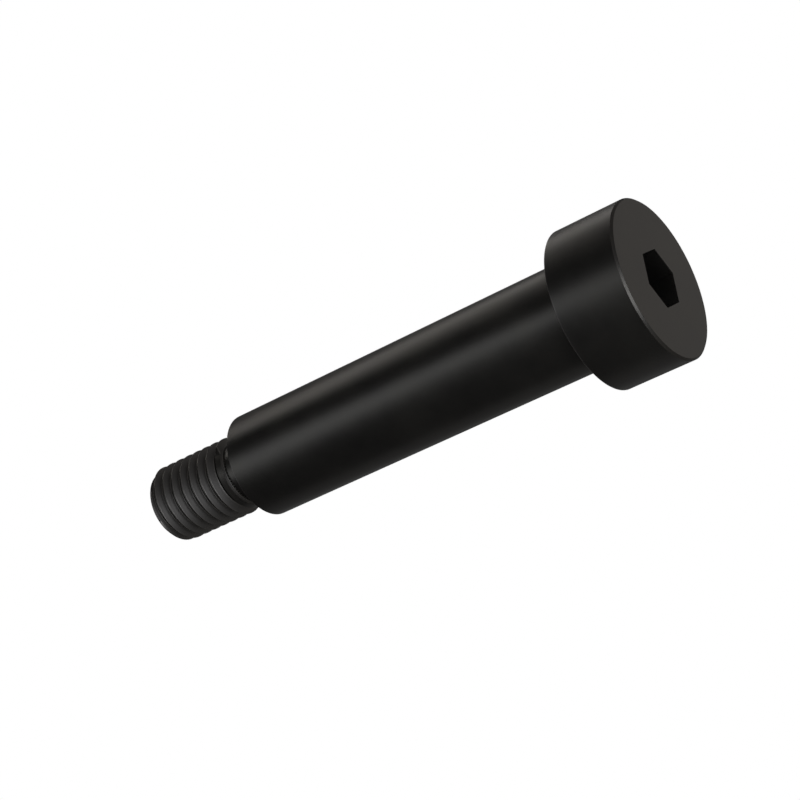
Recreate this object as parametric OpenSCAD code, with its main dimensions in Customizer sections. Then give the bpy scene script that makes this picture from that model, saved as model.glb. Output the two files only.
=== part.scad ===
// A hexagon socket head shoulder bolt, standing on the face of its head.
// Z runs up the axis, from the head's face to the tip of the thread.
// The hexagon socket has a corner on +X.

/* [Head] */
// Diameter of the head
head_d = 24; // [22:0.5:34]
// Height of the head
head_h = 11; // [9:0.5:18]
// Chamfer round the head's face
face_chamfer = 0.3; // [0.1:0.1:1]
// Small chamfer round the head's bearing side
bearing_chamfer = 0.1; // [0.05:0.05:0.5]

/* [Socket] */
// Width across the flats of the hexagon socket
socket_af = 8; // [6:0.5:10]
// Depth of the hexagon, without the drilled point below it
socket_depth = 6.6; // [4:0.2:8]
// Point angle of the drill that the socket was started with
drill_point = 120; // [100:5:140]
// How much the drilled hole is smaller than the hexagon's flats, across
drill_under = 0.2; // [0.1:0.1:1]

/* [Shoulder] */
// Diameter of the ground shoulder
shoulder_d = 16; // [15:0.5:20]
// Length of the shoulder, under the head
shoulder_len = 60; // [20:5:120]
// Small chamfer at the end of the shoulder
shoulder_chamfer = 0.05; // [0.05:0.05:0.3]
// Depth of the grinding relief in the shoulder, beside the head
relief_depth = 0.29; // [0.15:0.01:0.6]
// Length of the grinding relief along the shoulder
relief_len = 1.8; // [1.2:0.1:3]
// Depth of the same relief in the head's bearing side
relief_face_depth = 0.1; // [0.05:0.05:0.3]
// How far out from the shoulder the relief reaches on the head's bearing side
relief_face_width = 0.4; // [0.3:0.1:0.8]
// Fillet in the relief's corner
relief_fillet = 0.3; // [0.1:0.05:0.4]

/* [Thread] */
// Outside diameter of the thread
thread_d = 12; // [11:0.5:13]
// Distance from one turn to the next
pitch = 1.75; // [1.25:0.25:2]
// Length from the end of the shoulder to the tip
thread_len = 18; // [12:1:40]
// Chamfer at the tip of the thread
tip_chamfer = 0.9; // [0.6:0.1:2]
// Angle from the socket's +X corner at which the first crest rises from the neck
thread_start = 175; // [0:5:355]

/* [Neck] */
// Length of the neck between the shoulder and the thread
neck_len = 3; // [2:0.25:5]
// How much the neck is thinner than the root of the thread, across
neck_under_root = 0.28; // [0.2:0.02:0.6]
// Fillet where the neck meets the shoulder
neck_fillet = 0.5; // [0.2:0.1:0.8]

/* [Hidden] */

// Metric thread form: 60 degrees between the flanks, an eighth of the pitch flat at the crest.
flank_angle = 30;
sharp_h = pitch / (2 * tan(flank_angle));
root_depth = 17 / 24 * sharp_h;
crest_half = pitch / 16;

// Facets in one turn of the thread, and on the turned surfaces in a preview.
turn_steps = 36;
$fn = 96;

// How far the thread's ridge is sunk into its core, and how far its limits stand clear of it.
ridge_sink = 0.15;
ridge_clear = 0.5;
// How far a cutter starts outside the surface it cuts.
cutter_over = 1;

head_r = head_d / 2;
shoulder_r = shoulder_d / 2;
relief_r = shoulder_r - relief_depth;
relief_face_r = shoulder_r + relief_face_width;
thread_r = thread_d / 2;
root_r = thread_r - root_depth;
neck_r = root_r - neck_under_root / 2;
ridge_base_r = root_r - ridge_sink;
limit_r = thread_r + ridge_clear;
tip_r = thread_r - tip_chamfer;
core_tip_r = min(root_r, tip_r);
ridge_tip_r = max(root_r, tip_r);

relief_start = head_h - relief_face_depth;
relief_end = head_h + relief_len;
shoulder_end = head_h + shoulder_len;
neck_end = shoulder_end + neck_len;
thread_end = shoulder_end + thread_len;
// Where the chamfers at the thread's start and tip cross its root.
root_start = neck_end + (root_r - neck_r);
root_end = thread_end - (root_r - core_tip_r);

// Half of the bolt's section, from the face of the head to the tip, with the thread at its root.
// Each point is [radius, height].
section = [
    [0, 0],
    [head_r - face_chamfer, 0],
    [head_r, face_chamfer],
    [head_r, head_h - bearing_chamfer],
    [head_r - bearing_chamfer, head_h],
    [relief_face_r, head_h],
    [relief_face_r - relief_face_depth, relief_start],
    [relief_r, relief_start],
    [relief_r, relief_end - relief_depth],
    [shoulder_r, relief_end],
    [shoulder_r, shoulder_end - shoulder_chamfer],
    [shoulder_r - shoulder_chamfer, shoulder_end],
    [neck_r, shoulder_end],
    [neck_r, neck_end],
    [root_r, root_start],
    [root_r, root_end],
    [core_tip_r, thread_end],
    [0, thread_end]
];

// What a fillet fills of a corner that starts at radius r and height z.
module fillet_section(r, z, fillet) {
    difference() {
        translate([r, z])
            square(fillet);
        translate([r + fillet, z + fillet])
            circle(r = fillet);
    }
}

// Everything the lathe makes, in one revolve.
module turned_blank() {
    rotate_extrude() polygon(section);
    rotate_extrude() fillet_section(relief_r, relief_start, relief_fillet);
    rotate_extrude() fillet_section(neck_r, shoulder_end, neck_fillet);
}

// The broached hexagon and the drilled point that stays below it.
module hex_socket() {
    corner_r = socket_af / 2 / cos(30);
    drill_r = (socket_af - drill_under) / 2;
    point_h = drill_r / tan(drill_point / 2);
    translate([0, 0, -cutter_over])
        cylinder(r = corner_r, h = socket_depth + cutter_over, $fn = 6);
    translate([0, 0, socket_depth])
        cylinder(r1 = drill_r, r2 = 0, h = point_h);
}

// The ridge's cross-section, as [radius, height above its middle].
ridge_base_half = crest_half + (thread_r - ridge_base_r) * tan(flank_angle);
ridge_form = [
    [ridge_base_r, -ridge_base_half],
    [thread_r, -crest_half],
    [thread_r, crest_half],
    [ridge_base_r, ridge_base_half]
];
corners = len(ridge_form);
turns = ceil((thread_end - neck_end) / pitch) + 2;
steps = turns * turn_steps;

function ridge_points() = [
    for (k = [0:steps])
        let (a = thread_start + 360 * k / turn_steps, z = neck_end + pitch * (k / turn_steps - 1))
            for (p = ridge_form)
                [p[0] * cos(a), p[0] * sin(a), z + p[1]]
];

function ridge_faces() = concat(
    [[for (j = [corners - 1:-1:0]) j]],
    [
        for (k = [0:steps - 1], j = [0:corners - 1])
            let (a = corners * k + j, b = corners * k + (j + 1) % corners)
                [a, b, b + corners, a + corners]
    ],
    [[for (j = [0:corners - 1]) corners * steps + j]]
);

// What the chamfers at the thread's start and tip leave of the ridge.
module thread_limits() {
    rotate_extrude()
        polygon([
            [0, root_start],
            [root_r, root_start],
            [limit_r, root_start + (limit_r - root_r)],
            [limit_r, thread_end - (limit_r - tip_r)],
            [ridge_tip_r, root_end],
            [0, root_end]
        ]);
}

// One right-handed ridge, wound up the core.
module thread_ridge() {
    intersection() {
        polyhedron(points = ridge_points(), faces = ridge_faces(), convexity = turns);
        thread_limits();
    }
}

module shoulder_bolt() {
    color("dimgray") {
        difference() {
            turned_blank();
            hex_socket();
        }
        thread_ridge();
    }
}

shoulder_bolt();
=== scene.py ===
import math

import bmesh
import bpy
from bpy.props import FloatProperty, FloatVectorProperty, IntProperty, PointerProperty
from bpy.types import Operator, Panel, PropertyGroup
from mathutils import Euler, Matrix, Vector


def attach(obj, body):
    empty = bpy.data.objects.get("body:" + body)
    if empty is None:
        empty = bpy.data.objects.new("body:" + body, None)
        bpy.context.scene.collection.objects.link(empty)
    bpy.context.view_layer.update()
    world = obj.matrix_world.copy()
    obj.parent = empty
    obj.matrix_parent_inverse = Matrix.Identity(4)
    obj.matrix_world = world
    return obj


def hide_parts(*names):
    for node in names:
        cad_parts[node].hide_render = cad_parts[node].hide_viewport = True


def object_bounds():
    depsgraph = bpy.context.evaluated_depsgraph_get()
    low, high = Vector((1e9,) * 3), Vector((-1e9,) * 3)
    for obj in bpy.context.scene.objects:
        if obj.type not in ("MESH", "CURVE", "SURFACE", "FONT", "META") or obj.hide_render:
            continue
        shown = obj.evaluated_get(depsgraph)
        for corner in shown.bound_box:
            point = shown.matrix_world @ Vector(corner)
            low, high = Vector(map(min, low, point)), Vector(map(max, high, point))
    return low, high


bl_info = {
    "name": "Shoulder Bolt",
    "version": (1, 0, 0),
    "blender": (4, 5, 0),
    "location": "3D View > Sidebar > Bolt",
    "description": "A black-oxide shoulder bolt in a plain pale studio",
    "category": "Object",
}

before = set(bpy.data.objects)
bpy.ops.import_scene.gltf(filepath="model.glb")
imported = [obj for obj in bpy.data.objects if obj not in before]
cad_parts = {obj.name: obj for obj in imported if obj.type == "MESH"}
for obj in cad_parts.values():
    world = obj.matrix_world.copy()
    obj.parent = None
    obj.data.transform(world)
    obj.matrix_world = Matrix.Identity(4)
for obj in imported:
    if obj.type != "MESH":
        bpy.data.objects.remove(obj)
CAD_LOW, CAD_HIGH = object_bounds()
NODE = "shoulder_bolt"
MM = 0.001

# The lens and the camera's place and turn, fitted to the photograph's outline.
PHOTO_SIDE = 800
PHOTO_FOCAL = 2308.19
SENSOR = 36.0
CAMERA_PLACE = (0.291601, 0.0, -0.118588)
CAMERA_TURN = (-142.9504, 52.2549, -136.3273)


# Small tools

def linear(code):
    """An sRGB hex colour as Blender's linear red, green and blue."""
    values = [int(code[i:i + 2], 16) / 255 for i in (1, 3, 5)]
    return tuple(v / 12.92 if v <= 0.04045 else ((v + 0.055) / 1.055) ** 2.4 for v in values)


def towards(azimuth, elevation):
    """The direction at an azimuth from +X and an elevation above the floor, in radians."""
    level = math.cos(elevation)
    return Vector((level * math.cos(azimuth), level * math.sin(azimuth), math.sin(elevation)))


def add_node(tree, kind, settings=None, inputs=None):
    """Adds a node with its settings, and sets or links its inputs."""
    made = tree.nodes.new(kind)
    for name, value in (settings or {}).items():
        setattr(made, name, value)
    for name, value in (inputs or {}).items():
        socket = made.inputs[name]
        if isinstance(value, bpy.types.NodeSocket):
            tree.links.new(value, socket)
        else:
            socket.default_value = value
    return made


# Sizes and colours that a user would change

class BoltSizes(PropertyGroup):
    head_radius: FloatProperty(
        name="Head radius", description="Radius of the cylindrical head",
        default=CAD_HIGH.x, unit="LENGTH", subtype="DISTANCE")
    head_height: FloatProperty(
        name="Head height", description="Height of the head",
        default=11 * MM, unit="LENGTH", subtype="DISTANCE")
    face_chamfer: FloatProperty(
        name="Face chamfer", description="Chamfer round the head's face",
        default=0.3 * MM, unit="LENGTH", subtype="DISTANCE")
    bearing_chamfer: FloatProperty(
        name="Bearing chamfer", description="Chamfer round the head's bearing side",
        default=0.1 * MM, unit="LENGTH", subtype="DISTANCE")
    edge_rounding: FloatProperty(
        name="Edge rounding", description="Rounding of the turned edges",
        default=0.04 * MM, unit="LENGTH", subtype="DISTANCE")
    socket_flats: FloatProperty(
        name="Socket flats", description="Width across the flats of the hexagon socket",
        default=8 * MM, unit="LENGTH", subtype="DISTANCE")
    socket_depth: FloatProperty(
        name="Socket depth", description="Depth of the hexagon",
        default=6.6 * MM, unit="LENGTH", subtype="DISTANCE")
    drill_radius: FloatProperty(
        name="Drill radius", description="Radius of the drilled point below the hexagon",
        default=3.9 * MM, unit="LENGTH", subtype="DISTANCE")
    shoulder_radius: FloatProperty(
        name="Shoulder radius", description="Radius of the ground shoulder",
        default=8 * MM, unit="LENGTH", subtype="DISTANCE")
    shoulder_length: FloatProperty(
        name="Shoulder length", description="Length of the shoulder under the head",
        default=60 * MM, unit="LENGTH", subtype="DISTANCE")
    shoulder_chamfer: FloatProperty(
        name="Shoulder chamfer", description="Small chamfer at the end of the shoulder",
        default=0.05 * MM, unit="LENGTH", subtype="DISTANCE")
    relief_depth: FloatProperty(
        name="Relief depth", description="Depth of the grinding relief in the shoulder",
        default=0.29 * MM, unit="LENGTH", subtype="DISTANCE")
    relief_length: FloatProperty(
        name="Relief length", description="Length of the grinding relief along the shoulder",
        default=1.8 * MM, unit="LENGTH", subtype="DISTANCE")
    relief_face_depth: FloatProperty(
        name="Relief face depth", description="Depth of the relief in the head's bearing side",
        default=0.1 * MM, unit="LENGTH", subtype="DISTANCE")
    relief_face_width: FloatProperty(
        name="Relief face width", description="Reach of the relief on the head's bearing side",
        default=0.4 * MM, unit="LENGTH", subtype="DISTANCE")
    neck_radius: FloatProperty(
        name="Neck radius", description="Radius of the neck before the thread",
        default=4.7867 * MM, unit="LENGTH", subtype="DISTANCE")
    neck_length: FloatProperty(
        name="Neck length", description="Length of the neck",
        default=3 * MM, unit="LENGTH", subtype="DISTANCE")
    neck_fillet: FloatProperty(
        name="Neck fillet", description="Fillet where the neck meets the shoulder",
        default=0.5 * MM, unit="LENGTH", subtype="DISTANCE")
    thread_radius: FloatProperty(
        name="Thread radius", description="Outside radius of the thread",
        default=6 * MM, unit="LENGTH", subtype="DISTANCE")
    pitch: FloatProperty(
        name="Pitch", description="Distance from one turn of the thread to the next",
        default=1.75 * MM, unit="LENGTH", subtype="DISTANCE")
    first_crest: FloatProperty(
        name="First crest", description="Radius of the low crest with which the thread starts",
        default=5.4 * MM, unit="LENGTH", subtype="DISTANCE")
    first_taper: FloatProperty(
        name="First taper", description="Angle of that low crest from the axis",
        default=math.radians(11), unit="ROTATION", subtype="ANGLE")
    tip_chamfer: FloatProperty(
        name="Tip chamfer", description="Chamfer at the tip of the thread",
        default=0.9 * MM, unit="LENGTH", subtype="DISTANCE")
    root_height: FloatProperty(
        name="Root height", description="Height of a thread root over +X, above the neck's end",
        default=0.0243 * MM, unit="LENGTH", subtype="DISTANCE")
    columns: IntProperty(
        name="Columns", description="Steps round the bolt, a multiple of six", default=192, min=48)


class BoltFinish(PropertyGroup):
    oxide: FloatVectorProperty(
        name="Oxide", description="Colour of the black oxide, as the metal reflects it head on",
        subtype="COLOR", size=3, min=0, max=1, default=linear("#343332"))
    thin_oxide: FloatVectorProperty(
        name="Thin oxide", description="Colour where the oxide came out a little thinner",
        subtype="COLOR", size=3, min=0, max=1, default=linear("#393836"))
    # Painted light: the thread's flanks are painted lighter, for light that the ridges beside them
    # shade off.
    flank_painted_light: FloatVectorProperty(
        name="Cut thread", description="Colour on the flanks of the thread, which hold less oil",
        subtype="COLOR", size=3, min=0, max=1, default=linear("#424140"))
    # Painted shade: the thread's roots are painted darker, for the shade deep in its grooves.
    root_painted_shade: FloatVectorProperty(
        name="Oily root", description="Colour in the roots of the thread, where the oil stays",
        subtype="COLOR", size=3, min=0, max=1, default=linear("#141413"))
    # Partly rubbed wear, partly a painted highlight: the head's bearing edge takes this colour in
    # full.
    worn_edge_and_highlight: FloatVectorProperty(
        name="Worn edge", description="Colour along edges that handling has rubbed",
        subtype="COLOR", size=3, min=0, max=1, default=linear("#504e4d"))
    roughness: FloatProperty(
        name="Roughness", description="Roughness of the satin oxide",
        default=0.36, min=0, max=1, subtype="FACTOR")
    thread_roughness: FloatProperty(
        name="Thread roughness", description="Roughness on the flanks of the cut thread",
        default=0.49, min=0, max=1, subtype="FACTOR")
    uneven: FloatProperty(
        name="Uneven", description="How far the roughness rises and falls from patch to patch",
        default=0.02, min=0, max=0.2, subtype="FACTOR")
    edge_tint: FloatProperty(
        name="Edge tint", description="How much of the gloss at grazing angles is left",
        default=0.6, min=0, max=1, subtype="FACTOR")
    patch_size: FloatProperty(
        name="Patch size", description="Size of the cloudy patches that the oxide bath leaves",
        default=7 * MM, unit="LENGTH", subtype="DISTANCE")
    tool_mark: FloatProperty(
        name="Tool mark", description="Distance between the drawn turning and grinding marks",
        default=0.3 * MM, unit="LENGTH", subtype="DISTANCE")
    tool_mark_depth: FloatProperty(
        name="Tool mark depth", description="Depth of the drawn turning and grinding marks",
        default=0.004 * MM, unit="LENGTH", subtype="DISTANCE")
    grain_size: FloatProperty(
        name="Grain size", description="Size of the drawn grain of the oxide",
        default=0.16 * MM, unit="LENGTH", subtype="DISTANCE")
    grain_depth: FloatProperty(
        name="Grain depth", description="Depth of the drawn grain of the oxide",
        default=0.002 * MM, unit="LENGTH", subtype="DISTANCE")


class StudioLook(PropertyGroup):
    floor: FloatVectorProperty(
        name="Floor", description="Colour of the plain pale floor",
        subtype="COLOR", size=3, min=0, max=1, default=linear("#f4f4f4"))
    floor_radius: FloatProperty(
        name="Floor radius", description="Radius at which the floor has faded into the background",
        default=0.45, unit="LENGTH", subtype="DISTANCE")
    tent_radius: FloatProperty(
        name="Tent radius", description="Radius of the grey tent round the bolt and the lamps",
        default=1.5, unit="LENGTH", subtype="DISTANCE")
    tent_side: FloatProperty(
        name="Tent side", description="Brightness of the tent level with the bolt",
        default=0.29, min=0, max=2)
    tent_top: FloatProperty(
        name="Tent top", description="Brightness of the tent above the lamps",
        default=0.11, min=0, max=2)
    tent_dark: FloatProperty(
        name="Tent dark side", description="How much of that is left where the tent is darkest",
        default=0.267, min=0, max=1, subtype="FACTOR")
    crown: FloatProperty(
        name="Crown", description="Brightness of the tent right over the bolt",
        default=1.1, min=0, max=2)
    card_colour: FloatVectorProperty(
        name="Card colour", description="Colour of the cards round the bolt's foot",
        subtype="COLOR", size=3, min=0, max=1, default=linear("#fffaf5"))
    card_front: FloatProperty(
        name="Front cards", description="Brightness of the two cards before the bolt",
        default=1.7, min=0, max=2)
    card_back: FloatProperty(
        name="Back card", description="Brightness of the card behind the bolt",
        default=1.02, min=0, max=2)
    card_gap: FloatProperty(
        name="Card gap", description="Brightness between the cards",
        default=0.4, min=0, max=2)
    under: FloatProperty(
        name="Under", description="Brightness right under the bolt",
        default=0.03, min=0, max=2)


# The bolt's shape

# Under these names the mesh keeps how much each point is rubbed edge, thread flank and thread root.
# The finish rubs the edges and paints a highlight on the bearing edge, paints light on the flanks
# and paints shade in the roots.
EDGE = "edge"
THREAD = "thread"
ROOT = "root"
# How much handling has rubbed the head's bearing edge, the other edges and the thread's crests. The
# bearing edge's full share also paints a highlight line along it.
BEARING_WEAR_AND_HIGHLIGHT = 1.0
EDGE_WEAR = 0.5
CREST_WEAR = 0.2
# How far from an edge the rubbed band ends.
WEAR_WIDTH = 0.15 * MM
# Steps round a rounded edge, and how far beside it a loop holds the surface flat.
CORNER_STEPS = 3
CORNER_SUPPORT = 0.02 * MM
# Faces that meet at more than this are shaded with a sharp edge between them.
SHARP_ANGLE = math.radians(38)
# Half of the drill's point angle, and the radius of the loop round the point's tip.
DRILL_SLOPE = math.radians(60)
DRILL_LOOP = 0.2 * MM
# Loops on the two flat ends: how far inside the head's rim, and at what radius on the tip.
FACE_LOOP = 4 * MM
TIP_LOOP = 0.5 * MM

# The metric thread form: half of the angle between the flanks, the flat crest as a share of the
# pitch, and the depth and the root's radius as shares of the height of the sharp triangle.
FLANK_SLOPE = math.radians(30)
CREST_SHARE = 1 / 8
DEPTH_SHARE = 17 / 24
ROOT_SHARE = 1 / 6
# Where half a turn has rows of points, as shares of the pitch from a root's middle. They are close
# together in the rounded root and at the crest's edge.
HALF_TURN_ROWS = (
    0.034, 0.069, 0.103, 0.125, 0.17, 0.225, 0.28, 0.335, 0.385, 0.412, 0.428, 0.4375, 0.448, 0.468)
# How far root reaches from its middle, where flank starts, and how near the crest's edge a row is
# rubbed with it, as shares of the pitch.
ROOT_REACH = 0.08
FLANK_START = 0.1
CREST_REACH = 0.012
# The winding is counted in turns from two turns before the root at the neck's end. Between the
# first pair of turns the ridge rises from the neck, and between the second from low to full.
TURNS_BEFORE = 2
TURNS_START = (1.5, 1.6)
TURNS_FULL = (2.13, 2.19)
# How far before the neck's end the winding starts, how far before the tip it stops, and how near
# the loops at its two ends its points may come.
WINDING_LEAD = 1 * MM
WINDING_STOP = 0.08 * MM
WINDING_GAP = 0.004 * MM
# How widely corners of the thread are rounded: at its crest and its cuts, and where its start
# meets the tip's chamfer. The full ridge's limit stands clear of its crest by the third length.
CREST_ROUNDING = 0.05 * MM
LIMIT_ROUNDING = 0.04 * MM
LIMIT_CLEARANCE = 0.1 * MM
# Loops of the tip's rounded rim, as (depth below the tip, distance in from the chamfer).
TIP_RIM = ((0.03 * MM, 0), (0.009 * MM, 0.009 * MM), (0, 0.03 * MM))


def turned_path(corners):
    """A turned section as (radius, height, edge) points, from corners of (radius, height, rounding,
    wear). Wear is how much handling has rubbed a corner, from 0 to 1; on the head's bearing edge it
    is also a painted highlight."""
    path = []
    for i, (r, z, rounding, wear) in enumerate(corners):
        here = Vector((r, z))
        if rounding <= 0:
            path.append((r, z, 0.0))
            continue
        before = Vector(corners[i - 1][:2]) - here
        after = Vector(corners[i + 1][:2]) - here
        room_before, room_after = before.length / 2, after.length / 2
        before.normalize()
        after.normalize()
        half = before.angle(after) / 2
        reach = rounding / math.tan(half)
        centre = here + (before + after).normalized() * (rounding / math.sin(half))
        start, end = here + before * reach, here + after * reach
        if room_before > reach + WEAR_WIDTH:
            path.append((*(start + before * WEAR_WIDTH), 0.0))
        path.append((*(start + before * CORNER_SUPPORT), wear))
        for k in range(CORNER_STEPS + 1):
            spoke = (start - centre).lerp(end - centre, k / CORNER_STEPS)
            path.append((*(centre + spoke.normalized() * rounding), wear))
        path.append((*(end + after * CORNER_SUPPORT), wear))
        if room_after > reach + WEAR_WIDTH:
            path.append((*(end + after * WEAR_WIDTH), 0.0))
    return path


def ease(value, start, end):
    """0 at the start and 1 from the end on, with no corner on the way."""
    share = min(max((value - start) / (end - start), 0), 1)
    return share * share * (3 - 2 * share)


def soft_min(a, b, width):
    """The lower of two lengths, with the corner between them rounded off."""
    overlap = max(width - abs(a - b), 0) / width
    return min(a, b) - overlap * overlap * width / 4


class LatheMesh:
    """Closed loops of the same number of points, joined in order into one skin. Each point keeps
    how much it is rubbed edge (with a painted highlight on the head's bearing edge), thread flank
    (painted lighter) and thread root (painted darker as shade), from 0 to 1."""

    def __init__(self, columns):
        self.columns = columns
        self.points = []
        self.edges = []
        self.threads = []
        self.roots = []
        self.faces = []

    def point(self, i, r, z, edge=0.0, thread=0.0, root=0.0):
        """Adds the point of column i at a radius and a height, and returns its number."""
        angle = 2 * math.pi * i / self.columns
        self.points.append((r * math.cos(angle), r * math.sin(angle), z))
        self.edges.append(edge)
        self.threads.append(thread)
        self.roots.append(root)
        return len(self.points) - 1

    def loop(self, radii, z, edge=0.0):
        return [self.point(i, r, z, edge) for i, r in enumerate(radii)]

    def circle(self, r, z, edge=0.0):
        return self.loop([r] * self.columns, z, edge)

    def join(self, low, high):
        n = self.columns
        for i in range(n):
            k = (i + 1) % n
            self.faces.append((low[i], low[k], high[k], high[i]))

    def close(self, loop, z, start):
        """Fans a loop to a point on the axis, at the start or the end of the skin."""
        tip, n = self.point(0, 0.0, z), self.columns
        for i in range(n):
            k = (i + 1) % n
            self.faces.append((tip, loop[k], loop[i]) if start else (loop[i], loop[k], tip))

    def path(self, points, before):
        """Turns a path of (radius, height, edge) points, joined on to the loop before it."""
        for r, z, edge in points:
            loop = self.circle(r, z, edge)
            self.join(before, loop)
            before = loop
        return before


def hexagon_loop(lathe, flats, z, edge=0.0):
    """Points on a hexagon with a corner on +X, at even angles round the axis."""
    side = math.radians(60)
    angles = [2 * math.pi * i / lathe.columns for i in range(lathe.columns)]
    return lathe.loop([flats / 2 / math.cos(a % side - side / 2) for a in angles], z, edge)


def cut_socket(lathe, sizes):
    """The drilled point and the hexagon. Returns the loop beside the hexagon on the head's face."""
    drill_end = sizes.socket_depth + sizes.drill_radius / math.tan(DRILL_SLOPE)
    point = lathe.circle(DRILL_LOOP, drill_end - DRILL_LOOP / math.tan(DRILL_SLOPE))
    lathe.close(point, drill_end, start=True)
    last = lathe.path([(sizes.drill_radius, sizes.socket_depth, 0.0)], point)
    rounding = sizes.edge_rounding
    for outset, z, wear in (
        (0, sizes.socket_depth, 0.0),
        (0, rounding + WEAR_WIDTH, 0.0),
        (0, rounding, EDGE_WEAR),
        (rounding, 0, EDGE_WEAR),
        (rounding + WEAR_WIDTH, 0, 0.0),
    ):
        loop = hexagon_loop(lathe, sizes.socket_flats + 2 * outset, z, wear)
        lathe.join(last, loop)
        last = loop
    return last


def outside_path(sizes, shoulder_end, neck_end):
    """The turned outside, from the head's face to the neck, where the thread's winding starts."""
    head_top = sizes.head_height
    edge = sizes.edge_rounding
    relief_r = sizes.shoulder_radius - sizes.relief_depth
    relief_out = sizes.shoulder_radius + sizes.relief_face_width
    relief_z = head_top - sizes.relief_face_depth
    return turned_path([
        (sizes.head_radius - FACE_LOOP, 0, 0, 0),
        (sizes.head_radius - sizes.face_chamfer, 0, edge, 0),
        (sizes.head_radius, sizes.face_chamfer, edge, 0),
        # The bearing edge's wear is partly a painted highlight line.
        (sizes.head_radius, head_top - sizes.bearing_chamfer, edge, BEARING_WEAR_AND_HIGHLIGHT),
        (sizes.head_radius - sizes.bearing_chamfer, head_top, edge, BEARING_WEAR_AND_HIGHLIGHT),
        (relief_out, head_top, edge / 2, EDGE_WEAR),
        (relief_out - sizes.relief_face_depth, relief_z, edge / 2, 0),
        (relief_r, relief_z, sizes.relief_depth, 0),
        (relief_r, head_top + sizes.relief_length - sizes.relief_depth, 2 * edge, 0),
        (sizes.shoulder_radius, head_top + sizes.relief_length, 2 * edge, EDGE_WEAR),
        (sizes.shoulder_radius, shoulder_end - sizes.shoulder_chamfer, edge / 2, EDGE_WEAR),
        (sizes.shoulder_radius - sizes.shoulder_chamfer, shoulder_end, edge / 2, EDGE_WEAR),
        (sizes.neck_radius, shoulder_end, sizes.neck_fillet, 0),
        (sizes.neck_radius, neck_end - WINDING_LEAD, 0, 0),
    ])


class ThreadForm:
    """The thread's surface. A place on it is a height and a rise, and the rise is how far the
    helix has climbed since it last passed +X."""

    def __init__(self, sizes, neck_end, tip):
        self.sizes = sizes
        self.tip = tip
        self.first_root = neck_end + sizes.root_height - TURNS_BEFORE * sizes.pitch
        self.crest_edge = sizes.pitch / 2 - sizes.pitch * CREST_SHARE / 2
        sharp = sizes.pitch / (2 * math.tan(FLANK_SLOPE))
        self.root_radius = sizes.thread_radius - DEPTH_SHARE * sharp
        self.rounding = ROOT_SHARE * sharp
        shares = [0.0, *HALF_TURN_ROWS, 0.5, *(1 - share for share in reversed(HALF_TURN_ROWS))]
        self.rows = [share * sizes.pitch for share in shares]

    def endless(self, z, rise):
        """Radius of the thread as if nothing ended it: 60 degree flanks and a rounded root."""
        sizes = self.sizes
        up = z - self.first_root - rise
        from_root = abs((up + sizes.pitch / 2) % sizes.pitch - sizes.pitch / 2)
        if from_root < self.rounding * math.cos(FLANK_SLOPE):
            r = self.root_radius + self.rounding - math.sqrt(self.rounding ** 2 - from_root ** 2)
        else:
            r = sizes.thread_radius - (self.crest_edge - from_root) / math.tan(FLANK_SLOPE)
        return soft_min(r, sizes.thread_radius, CREST_ROUNDING)

    def limit(self, z, rise):
        """How far out the ridge may reach: more along the winding from the neck on, and then
        less again at the tip's chamfer."""
        sizes = self.sizes
        up = z - self.first_root - rise
        turn = up // sizes.pitch
        across = up - (turn + 0.5) * sizes.pitch
        wound = turn + rise / sizes.pitch
        low = sizes.first_crest + across * math.tan(sizes.first_taper)
        start = sizes.neck_radius + (low - sizes.neck_radius) * ease(wound, *TURNS_START)
        full = sizes.thread_radius + LIMIT_CLEARANCE
        grown = start + (full - start) * ease(wound, *TURNS_FULL)
        chamfer = sizes.thread_radius - sizes.tip_chamfer + (self.tip - z)
        return soft_min(grown, chamfer, LIMIT_ROUNDING)

    def radius(self, z, rise):
        return soft_min(self.endless(z, rise), self.limit(z, rise), CREST_ROUNDING)

    def row_edge(self, offset):
        """How much a row at a height above a root's middle is rubbed crest."""
        half = self.sizes.pitch / 2
        from_edge = abs(abs(offset - half) - (half - self.crest_edge))
        return CREST_WEAR if from_edge < CREST_REACH * self.sizes.pitch else 0.0

    def flank_and_root(self, offset, z, rise):
        """How much such a row is flank and how much root, but 0 where the thread is cut."""
        if self.endless(z, rise) >= self.limit(z, rise):
            return 0.0, 0.0
        pitch = self.sizes.pitch
        from_root = min(offset, pitch - offset)
        flank = FLANK_START * pitch < from_root < self.crest_edge
        return float(flank), float(from_root < ROOT_REACH * pitch)


def wind_column(lathe, form, i, low, high):
    """Adds the winding's points between two heights over column i. Returns them by their row,
    counted up the winding."""
    pitch = form.sizes.pitch
    rise = pitch * i / lathe.columns
    turns = math.ceil((high - form.first_root) / pitch) + 1
    column = {}
    for turn in range(-1, turns):
        for j, offset in enumerate(form.rows):
            z = form.first_root + turn * pitch + offset + rise
            if low + WINDING_GAP < z < high - WINDING_GAP:
                flank, root = form.flank_and_root(offset, z, rise)
                column[turn * len(form.rows) + j] = lathe.point(
                    i, form.radius(z, rise), z, form.row_edge(offset), flank, root)
    return column


def join_columns(lathe, columns, row_count, before, last):
    """Joins the winding's columns with each other and with the loops before and after it."""
    n = lathe.columns
    for i in range(n):
        k = (i + 1) % n
        climbed = row_count if k == 0 else 0
        left = columns[i]
        right = {row - climbed: point for row, point in columns[k].items()}
        shared = sorted(set(left) & set(right))
        for a, b in zip(shared, shared[1:]):
            lathe.faces.append((left[a], right[a], right[b], left[b]))
        lowest, highest = shared[0], shared[-1]
        right_under = [right[row] for row in sorted(right) if row < lowest]
        right_over = [right[row] for row in sorted(right) if row > highest]
        left_under = [left[row] for row in sorted(left, reverse=True) if row < lowest]
        left_over = [left[row] for row in sorted(left, reverse=True) if row > highest]
        lathe.faces.append(
            (before[i], before[k], *right_under, right[lowest], left[lowest], *left_under))
        lathe.faces.append(
            (left[highest], right[highest], *right_over, last[k], last[i], *left_over))


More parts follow.
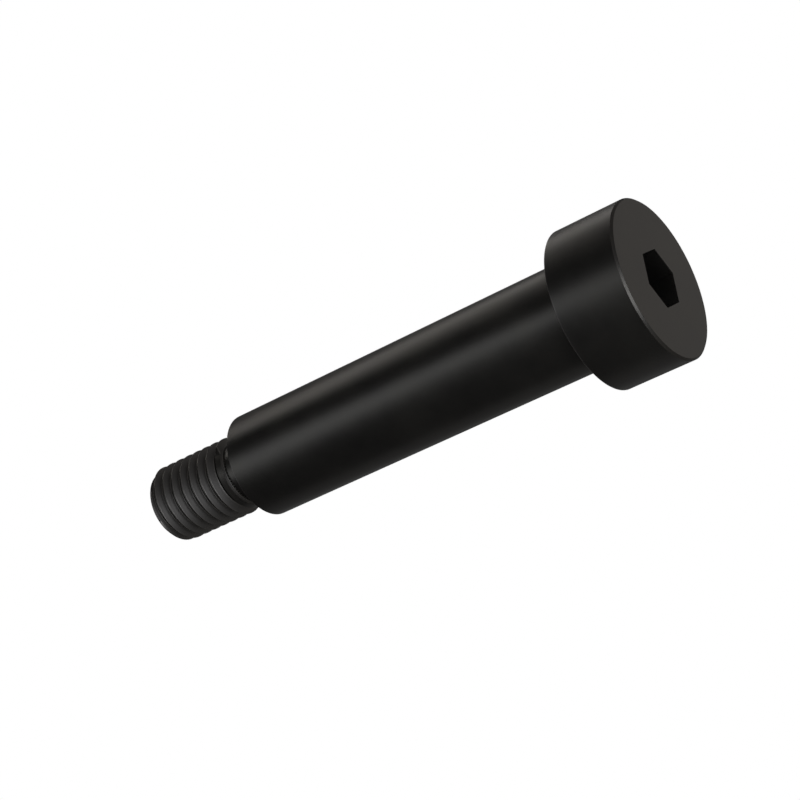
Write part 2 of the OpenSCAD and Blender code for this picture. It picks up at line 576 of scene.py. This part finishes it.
def wind_thread(lathe, sizes, before, neck_end, tip):
    """The helical skin from the neck to the tip's rounded rim. Returns its last loop."""
    form = ThreadForm(sizes, neck_end, tip)
    rises = [sizes.pitch * i / lathe.columns for i in range(lathe.columns)]
    high = tip - WINDING_STOP
    last = lathe.loop([form.radius(high, rise) for rise in rises], high)
    columns = [
        wind_column(lathe, form, i, neck_end - WINDING_LEAD, high) for i in range(lathe.columns)]
    join_columns(lathe, columns, len(form.rows), before, last)
    for depth, inset in TIP_RIM:
        z = tip - depth
        rim = lathe.loop([form.radius(z, rise) - inset for rise in rises], z, EDGE_WEAR)
        lathe.join(last, rim)
        last = rim
    return last


def bolt_mesh(sizes):
    """One closed skin: drilled point, hexagon, head, shoulder, neck, thread and tip."""
    lathe = LatheMesh(sizes.columns)
    shoulder_end = sizes.head_height + sizes.shoulder_length
    neck_end = shoulder_end + sizes.neck_length
    tip = CAD_HIGH.z
    socket = cut_socket(lathe, sizes)
    neck = lathe.path(outside_path(sizes, shoulder_end, neck_end), socket)
    rim = wind_thread(lathe, sizes, neck, neck_end, tip)
    last = lathe.path([(sizes.neck_radius, tip, 0.0), (TIP_LOOP, tip, 0.0)], rim)
    lathe.close(last, tip, start=False)

    mesh = bpy.data.meshes.new("black_bolt")
    mesh.from_pydata(lathe.points, [], lathe.faces)
    for name, values in ((EDGE, lathe.edges), (THREAD, lathe.threads), (ROOT, lathe.roots)):
        mesh.attributes.new(name, "FLOAT", "POINT").data.foreach_set("value", values)
    mesh.polygons.foreach_set("use_smooth", [True] * len(mesh.polygons))
    mesh.set_sharp_from_angle(angle=SHARP_ANGLE)
    mesh.update()
    return mesh


# The bolt's finish

# The noise of the clouds runs from 0 to 1. The colour changes between the first two of these
# values, and the roughness between the other two.
COLOUR_CLOUDS = (0.35, 0.65)
SHEEN_CLOUDS = (0.3, 0.7)
# How far a tool mark drifts, as a share of the way across the bolt.
MARK_DRIFT = 0.05


def new_material(name):
    """A material whose node tree is still empty."""
    material = bpy.data.materials.new(name)
    material.use_nodes = True
    material.node_tree.nodes.clear()
    return material


def oxide_colour(tree, finish, clouds, flank):
    """Cloudy oxide, with painted light on the thread's flanks, painted shade in its roots, and
    rubbed edges, where the head's bearing edge also carries a painted highlight.
    """
    patches = add_node(tree, "ShaderNodeMapRange", inputs={
        "Value": clouds, "From Min": COLOUR_CLOUDS[0], "From Max": COLOUR_CLOUDS[1]})
    film = add_node(tree, "ShaderNodeMix", {"data_type": "RGBA"}, {
        0: patches.outputs["Result"], 6: (*finish.oxide, 1), 7: (*finish.thin_oxide, 1)})
    # Painted light: the thread's flanks are painted lighter.
    flank_lit_film = add_node(tree, "ShaderNodeMix", {"data_type": "RGBA"}, {
        0: flank, 6: film.outputs[2], 7: (*finish.flank_painted_light, 1)})
    # Painted shade: the thread's roots are painted darker.
    root = add_node(tree, "ShaderNodeAttribute", {"attribute_name": ROOT})
    root_shaded_film = add_node(tree, "ShaderNodeMix", {"data_type": "RGBA"}, {
        0: root.outputs["Fac"], 6: flank_lit_film.outputs[2], 7: (*finish.root_painted_shade, 1)})
    # Rubbed edges, and partly a painted highlight along the head's bearing edge.
    edge = add_node(tree, "ShaderNodeAttribute", {"attribute_name": EDGE})
    rubbed = add_node(tree, "ShaderNodeMath", {"operation": "MULTIPLY"}, {
        0: edge.outputs["Fac"], 1: clouds})
    colour = add_node(tree, "ShaderNodeMix", {"data_type": "RGBA"}, {
        0: rubbed.outputs["Value"], 6: root_shaded_film.outputs[2], 7: (*finish.worn_edge_and_highlight, 1)})
    return colour.outputs[2]


def oxide_roughness(tree, finish, clouds, flank):
    """Satin that rises and falls from patch to patch, and is rougher on the thread's flanks."""
    satin = add_node(tree, "ShaderNodeMapRange", inputs={
        "Value": clouds, "From Min": SHEEN_CLOUDS[0], "From Max": SHEEN_CLOUDS[1],
        "To Min": finish.roughness - finish.uneven, "To Max": finish.roughness + finish.uneven})
    rough = add_node(tree, "ShaderNodeMix", {"data_type": "FLOAT"}, {
        0: flank, 2: satin.outputs["Result"], 3: finish.thread_roughness})
    return rough.outputs[0]


def oxide_surface(tree, finish, place):
    """Rings from the lathe and the grinding wheel, which drift a little as they go round the
    axis, and the grain of the oxide over them."""
    parts = add_node(tree, "ShaderNodeSeparateXYZ", inputs={"Vector": place})
    across = add_node(tree, "ShaderNodeVectorMath", {"operation": "MULTIPLY"}, {
        0: place, 1: (1, 1, 0)})
    radius = add_node(tree, "ShaderNodeVectorMath", {"operation": "LENGTH"}, {
        0: across.outputs["Vector"]})
    drift = add_node(tree, "ShaderNodeMath", {"operation": "MULTIPLY"}, {
        0: parts.outputs["X"], 1: MARK_DRIFT})
    rings = add_node(tree, "ShaderNodeCombineXYZ", inputs={
        "X": radius.outputs["Value"], "Y": parts.outputs["Z"], "Z": drift.outputs["Value"]})
    marks = add_node(tree, "ShaderNodeTexNoise", inputs={
        "Vector": rings.outputs["Vector"], "Scale": 1 / finish.tool_mark, "Detail": 3.0,
        "Roughness": 0.6})
    grain = add_node(tree, "ShaderNodeTexNoise", inputs={
        "Vector": place, "Scale": 1 / finish.grain_size, "Detail": 2.0})
    marked = add_node(tree, "ShaderNodeBump", inputs={
        "Height": marks.outputs["Fac"], "Distance": finish.tool_mark_depth})
    skin = add_node(tree, "ShaderNodeBump", inputs={
        "Height": grain.outputs["Fac"], "Distance": finish.grain_depth,
        "Normal": marked.outputs["Normal"]})
    return skin.outputs["Normal"]


def black_oxide(finish):
    """Black oxide on turned and ground alloy steel, with the last of its oil: a satin, near-black
    metal with soft highlights, faint rings from the lathe and the grinding wheel, and cloudy
    patches from the bath. The real marks are 0.02 to 0.1 mm apart and the grain is finer still,
    so both are drawn coarser here, to show at all."""
    material = new_material("Black oxide steel")
    tree = material.node_tree
    place = add_node(tree, "ShaderNodeTexCoord").outputs["Object"]
    clouds = add_node(tree, "ShaderNodeTexNoise", inputs={
        "Vector": place, "Scale": 1 / finish.patch_size, "Detail": 4.0, "Roughness": 0.55})
    flank = add_node(tree, "ShaderNodeAttribute", {"attribute_name": THREAD})
    shares = clouds.outputs["Fac"], flank.outputs["Fac"]
    shader = add_node(tree, "ShaderNodeBsdfPrincipled", inputs={
        "Metallic": 1.0,
        "Base Color": oxide_colour(tree, finish, *shares),
        "Roughness": oxide_roughness(tree, finish, *shares),
        "Specular Tint": (finish.edge_tint, finish.edge_tint, finish.edge_tint, 1),
        "Normal": oxide_surface(tree, finish, place),
    })
    add_node(tree, "ShaderNodeOutputMaterial", inputs={"Surface": shader.outputs["BSDF"]})
    return material


# The stage

# The white of the background and of the tent's cloth, which its brightness turns grey.
WHITE = (*linear("#ffffff"), 1)
# Lamps as (name, azimuth, elevation and roll in degrees, width and height in metres, level,
# colour). Level 1 is as bright as the white background. Each faces the bolt's middle.
LAMP_DISTANCE = 0.6
LAMPS = [
    ("front_strip", 15.9, 37.3, 37.3, 0.226, 0.562, 2.14, "#f9fcff"),
    ("left_strip", 119.8, 24.3, 58.5, 0.089, 0.734, 5.4, "#fffcf9"),
    ("back_box", 230.8, 35.9, 0, 0.585, 0.583, 0.25, "#ffffff"),
    ("low_box", -4, -47, 0, 0.45, 0.36, 11.6, "#f9fbff"),
]
# How bright the white studio is as plain light on the floor.
FLOOR_LIGHT = 0.64
# How far the floor lies under the head's face, and how many sides its disc has.
FLOOR_GAP = 0.02 * MM
FLOOR_SIDES = 64
# Where the tent changes, in degrees: its darkest side's azimuth, and elevations between which it
# goes from its side to its top, to its crown, down to the cards and on to what is under the bolt.
TENT_DARK_SIDE = 70
TENT_TOP = (0, 20)
TENT_CROWN = (59, 76)
TENT_CARDS = (-3, -16)
TENT_UNDER = (-33, -50)
# Segments and rings of the tent's sphere.
TENT_STEPS = (48, 24)
# The cards stand at even angles all round, one of them behind the bolt. Between the two levels of
# a cosine round them a gap turns into a card, and between the two places along X, from -1 behind
# the bolt to 1 before it, the back card's brightness turns into the front ones'.
CARDS = 3
CARD_EDGE = (0.6, -0.5)
CARD_FRONT = (-1.0, 0.5)
# Nearest and farthest distance that the camera shows, in metres.
CAMERA_REACH = (0.01, 20)


def link_to_scene(name, data):
    """Adds an object with this data to the scene, and returns it."""
    made = bpy.data.objects.new(name, data)
    bpy.context.scene.collection.objects.link(made)
    return made


def add_lamp(name, azimuth, elevation, roll, width, height, level, colour):
    """An area lamp that faces the bolt's middle and is rolled about the way it faces."""
    lamp = bpy.data.lights.new(name, "AREA")
    lamp.shape = "RECTANGLE"
    lamp.size, lamp.size_y = width, height
    lamp.energy = level * math.pi * width * height
    lamp.color = linear(colour)
    out = towards(math.radians(azimuth), math.radians(elevation))
    side = towards(math.radians(azimuth + 90), 0)
    turn = Matrix.Rotation(math.radians(roll), 3, out)
    holder = link_to_scene(name, lamp)
    holder.location = (CAD_LOW + CAD_HIGH) / 2 + out * LAMP_DISTANCE
    holder.rotation_mode = "QUATERNION"
    holder.rotation_quaternion = Matrix(
        (turn @ side, turn @ out.cross(side), out)).transposed().to_quaternion()
    holder.visible_camera = False


def add_world():
    """A white studio: white to the camera and in reflections, and plain light for the floor."""
    world = bpy.data.worlds.new("White studio")
    bpy.context.scene.world = world
    world.use_nodes = True
    world.cycles.sampling_method = "NONE"
    tree = world.node_tree
    tree.nodes.clear()
    path = add_node(tree, "ShaderNodeLightPath")
    seen = add_node(tree, "ShaderNodeMath", {"operation": "MAXIMUM"}, {
        0: path.outputs["Is Camera Ray"], 1: path.outputs["Is Glossy Ray"]})
    shown = add_node(tree, "ShaderNodeMath", {"operation": "MAXIMUM"}, {
        0: seen.outputs["Value"], 1: path.outputs["Is Transmission Ray"]})
    strength = add_node(tree, "ShaderNodeMapRange", inputs={
        "Value": shown.outputs["Value"], "To Min": FLOOR_LIGHT, "To Max": 1.0})
    sky = add_node(tree, "ShaderNodeBackground", inputs={
        "Color": WHITE, "Strength": strength.outputs["Result"]})
    add_node(tree, "ShaderNodeOutputWorld", inputs={"Surface": sky.outputs["Background"]})


def tent_step(tree, up, elevations):
    """0 at the first elevation and 1 from the second on, where up is the sine of the elevation."""
    first, last = (math.sin(math.radians(e)) for e in elevations)
    step = add_node(tree, "ShaderNodeMapRange", {"interpolation_type": "SMOOTHSTEP"}, {
        "Value": up, "From Min": first, "From Max": last})
    return step.outputs["Result"]


def tent_side(tree, look, way, up):
    """Brightness of the plain cloth, with its dark side and its light crown."""
    level = add_node(tree, "ShaderNodeMapRange", inputs={
        "Value": tent_step(tree, up, TENT_TOP),
        "To Min": look.tent_side, "To Max": look.tent_top})
    side = add_node(tree, "ShaderNodeVectorMath", {"operation": "DOT_PRODUCT"}, {
        0: way, 1: towards(math.radians(TENT_DARK_SIDE), 0)})
    shade = add_node(tree, "ShaderNodeMapRange", inputs={
        "Value": side.outputs["Value"], "To Min": 1.0, "To Max": look.tent_dark})
    cloth = add_node(tree, "ShaderNodeMath", {"operation": "MULTIPLY"}, {
        0: level.outputs["Result"], 1: shade.outputs["Result"]})
    top = add_node(tree, "ShaderNodeMix", {"data_type": "FLOAT"}, {
        0: tent_step(tree, up, TENT_CROWN), 2: cloth.outputs["Value"], 3: look.crown})
    return top.outputs[0]


def card_ring(tree, look, parts):
    """Brightness of the white cards round the bolt's foot and of the gaps between them."""
    azimuth = add_node(tree, "ShaderNodeMath", {"operation": "ARCTAN2"}, {
        0: parts["Y"], 1: parts["X"]})
    turns = add_node(tree, "ShaderNodeMath", {"operation": "MULTIPLY"}, {
        0: azimuth.outputs["Value"], 1: CARDS})
    wave = add_node(tree, "ShaderNodeMath", {"operation": "COSINE"}, {0: turns.outputs["Value"]})
    card = add_node(tree, "ShaderNodeMapRange", inputs={
        "Value": parts["X"], "From Min": CARD_FRONT[0], "From Max": CARD_FRONT[1],
        "To Min": look.card_back, "To Max": look.card_front})
    cards = add_node(tree, "ShaderNodeMapRange", {"interpolation_type": "SMOOTHSTEP"}, {
        "Value": wave.outputs["Value"], "From Min": CARD_EDGE[0], "From Max": CARD_EDGE[1],
        "To Min": look.card_gap, "To Max": card.outputs["Result"]})
    return cards.outputs["Result"]


def tent_cloth(look):
    """Grey tent cloth that only reflections see, with white cards round the bolt's foot."""
    material = new_material("Grey tent cloth")
    material.cycles.emission_sampling = "NONE"
    tree = material.node_tree
    place = add_node(tree, "ShaderNodeTexCoord")
    way = add_node(tree, "ShaderNodeVectorMath", {"operation": "NORMALIZE"}, {
        0: place.outputs["Object"]}).outputs["Vector"]
    parts = add_node(tree, "ShaderNodeSeparateXYZ", inputs={"Vector": way}).outputs
    up = parts["Z"]
    low = tent_step(tree, up, TENT_CARDS)
    upper = add_node(tree, "ShaderNodeMix", {"data_type": "FLOAT"}, {
        0: low, 2: tent_side(tree, look, way, up), 3: card_ring(tree, look, parts)})
    strength = add_node(tree, "ShaderNodeMix", {"data_type": "FLOAT"}, {
        0: tent_step(tree, up, TENT_UNDER), 2: upper.outputs[0], 3: look.under})
    colour = add_node(tree, "ShaderNodeMix", {"data_type": "RGBA"}, {
        0: low, 6: WHITE, 7: (*look.card_colour, 1)})
    glow = add_node(tree, "ShaderNodeEmission", inputs={
        "Color": colour.outputs[2], "Strength": strength.outputs[0]})
    add_node(tree, "ShaderNodeOutputMaterial", inputs={"Surface": glow.outputs["Emission"]})
    return material


def add_tent(look):
    """The tent all round the bolt and its lamps."""
    segments, rings = TENT_STEPS
    shell = bmesh.new()
    bmesh.ops.create_uvsphere(
        shell, u_segments=segments, v_segments=rings, radius=look.tent_radius)
    mesh = bpy.data.meshes.new("tent")
    shell.to_mesh(mesh)
    shell.free()
    mesh.materials.append(tent_cloth(look))
    tent = link_to_scene("tent", mesh)
    tent.location = (CAD_LOW + CAD_HIGH) / 2
    tent.visible_camera = False
    tent.visible_diffuse = False
    tent.visible_transmission = False
    tent.visible_shadow = False


def pale_floor(look):
    """Matt white board, which fades into the background and is see-through from below."""
    material = new_material("Pale floor board")
    tree = material.node_tree
    place = add_node(tree, "ShaderNodeTexCoord").outputs["Object"]
    far = add_node(tree, "ShaderNodeVectorMath", {"operation": "LENGTH"}, {0: place})
    fade = add_node(tree, "ShaderNodeMapRange", {"interpolation_type": "SMOOTHSTEP"}, {
        "Value": far.outputs["Value"],
        "From Min": look.floor_radius / 3, "From Max": look.floor_radius})
    below = add_node(tree, "ShaderNodeNewGeometry").outputs["Backfacing"]
    clear = add_node(tree, "ShaderNodeMath", {"operation": "MAXIMUM"}, {
        0: fade.outputs["Result"], 1: below})
    board = add_node(tree, "ShaderNodeBsdfDiffuse", inputs={"Color": (*look.floor, 1)})
    glass = add_node(tree, "ShaderNodeBsdfTransparent")
    mixed = add_node(tree, "ShaderNodeMixShader", inputs={
        0: clear.outputs["Value"], 1: board.outputs["BSDF"], 2: glass.outputs["BSDF"]})
    add_node(tree, "ShaderNodeOutputMaterial", inputs={"Surface": mixed.outputs["Shader"]})
    return material


def add_floor(look):
    """The floor that the bolt's head stands on."""
    rim = [towards(2 * math.pi * i / FLOOR_SIDES, 0) * look.floor_radius
           for i in range(FLOOR_SIDES)]
    mesh = bpy.data.meshes.new("floor")
    mesh.from_pydata(rim, [], [tuple(range(FLOOR_SIDES))])
    mesh.materials.append(pale_floor(look))
    floor = link_to_scene("floor", mesh)
    floor.location = (0, 0, CAD_LOW.z - FLOOR_GAP)
    floor.visible_glossy = False
    floor.visible_shadow = False


def add_camera():
    """The camera that the photograph was taken with, as fitted to it."""
    camera = bpy.data.cameras.new("photo_camera")
    camera.sensor_width = SENSOR
    camera.lens = PHOTO_FOCAL / PHOTO_SIDE * SENSOR
    camera.clip_start, camera.clip_end = CAMERA_REACH
    holder = link_to_scene("photo_camera", camera)
    holder.location = CAMERA_PLACE
    holder.rotation_euler = Euler([math.radians(a) for a in CAMERA_TURN], "XYZ")
    bpy.context.scene.camera = holder


# Operators

class BOLT_OT_turn_bolt(Operator):
    """Makes the shoulder bolt with its finish, and shows it in place of the plain solid"""
    bl_idname = "bolt.turn_bolt"
    bl_label = "Turn the bolt"

    def execute(self, context):
        scene = context.scene
        mesh = bolt_mesh(scene.bolt_sizes)
        mesh.materials.append(black_oxide(scene.bolt_finish))
        piece = link_to_scene("black_bolt", mesh)
        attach(piece, "root")
        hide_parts(NODE)
        return {"FINISHED"}


class BOLT_OT_set_stage(Operator):
    """Sets up the camera, lamps, tent, floor and background"""
    bl_idname = "bolt.set_stage"
    bl_label = "Set the stage"

    def execute(self, context):
        look = context.scene.studio_look
        context.scene.view_settings.view_transform = "Standard"
        add_camera()
        add_world()
        add_tent(look)
        add_floor(look)
        for lamp in LAMPS:
            add_lamp(*lamp)
        return {"FINISHED"}


class BOLT_PT_panel(Panel):
    bl_label = "Shoulder bolt"
    bl_idname = "BOLT_PT_panel"
    bl_space_type = "VIEW_3D"
    bl_region_type = "UI"
    bl_category = "Bolt"

    def draw(self, context):
        layout = self.layout
        for operator in OPERATORS:
            layout.operator(operator.bl_idname)


OPERATORS = (BOLT_OT_turn_bolt, BOLT_OT_set_stage)
GROUPS = {"bolt_sizes": BoltSizes, "bolt_finish": BoltFinish, "studio_look": StudioLook}


def register():
    for made in (*GROUPS.values(), *OPERATORS, BOLT_PT_panel):
        bpy.utils.register_class(made)
    for name, group in GROUPS.items():
        setattr(bpy.types.Scene, name, PointerProperty(type=group))


def unregister():
    for name in GROUPS:
        delattr(bpy.types.Scene, name)
    for made in reversed((*GROUPS.values(), *OPERATORS, BOLT_PT_panel)):
        bpy.utils.unregister_class(made)


def main():
    register()
    bpy.ops.bolt.turn_bolt()
    bpy.ops.bolt.set_stage()


if __name__ == "__main__":
    main()
